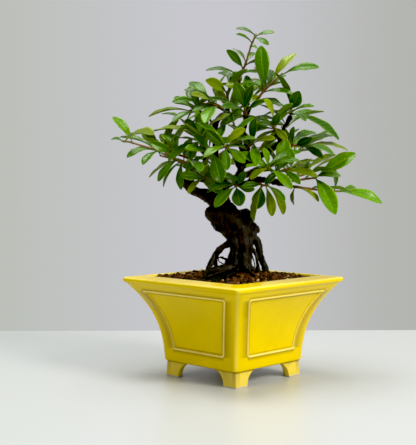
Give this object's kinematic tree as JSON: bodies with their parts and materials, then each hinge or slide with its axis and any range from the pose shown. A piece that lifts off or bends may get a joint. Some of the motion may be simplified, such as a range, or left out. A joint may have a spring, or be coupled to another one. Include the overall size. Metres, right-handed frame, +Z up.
{
  "type": "firethorn bonsai",
  "caption": "Small firethorn bonsai: a gnarled trunk on exposed stilt roots under a loose crown of glossy leaves, planted in a square, flared, glazed pot on bracket feet.",
  "frame": {"origin": "centre of the bounding box's base, on the plane that the pot's feet stand on", "axes": "+Z up; the front, which has one corner of the pot towards it, faces -Y; +X to the right as seen from the front"},
  "size_m": [0.1994, 0.1648, 0.2601],
  "materials": {
    "glaze": "gloss",
    "bark": "matte",
    "soil": "matte",
    "leaf": "satin",
    "net": "matte",
    "wire": "satin"
  },
  "bodies": {
    "root": {"apex_shoot": "leaf", "back_apex_shoot": "leaf", "back_left_shoot": "leaf", "back_right_shoot": "leaf", "back_shoot": "leaf", "centre_front_shoot": "leaf", "centre_shoot": "leaf", "drain_screen": "net", "far_left_shoot": "leaf", "front_left_shoot": "leaf", "hanging_shoot": "leaf", "high_back_shoot": "leaf", "inner_high_shoot": "leaf", "inner_left_shoot": "leaf", "inner_right_shoot": "leaf", "leader_front_shoot": "leaf", "left_back_shoot": "leaf", "left_rosette": "leaf", "low_centre_shoot": "leaf", "low_front_shoot": "leaf", "low_left_back_shoot": "leaf", "low_left_inner_shoot": "leaf", "low_left_shoot": "leaf", "low_right_back_shoot": "leaf", "low_right_shoot": "leaf", "middle_left_shoot": "leaf", "middle_top_shoot": "leaf", "pot": "glaze", "right_back_shoot": "leaf", "right_end_rosette": "leaf", "right_fork_shoot": "leaf", "right_front_shoot": "leaf", "right_middle_shoot": "leaf", "right_rosette": "leaf", "screen_clip": "wire", "soil": "soil", "trunk": "bark", "upper_left_shoot": "leaf", "upper_right_shoot": "leaf"}
  },
  "joints": []
}
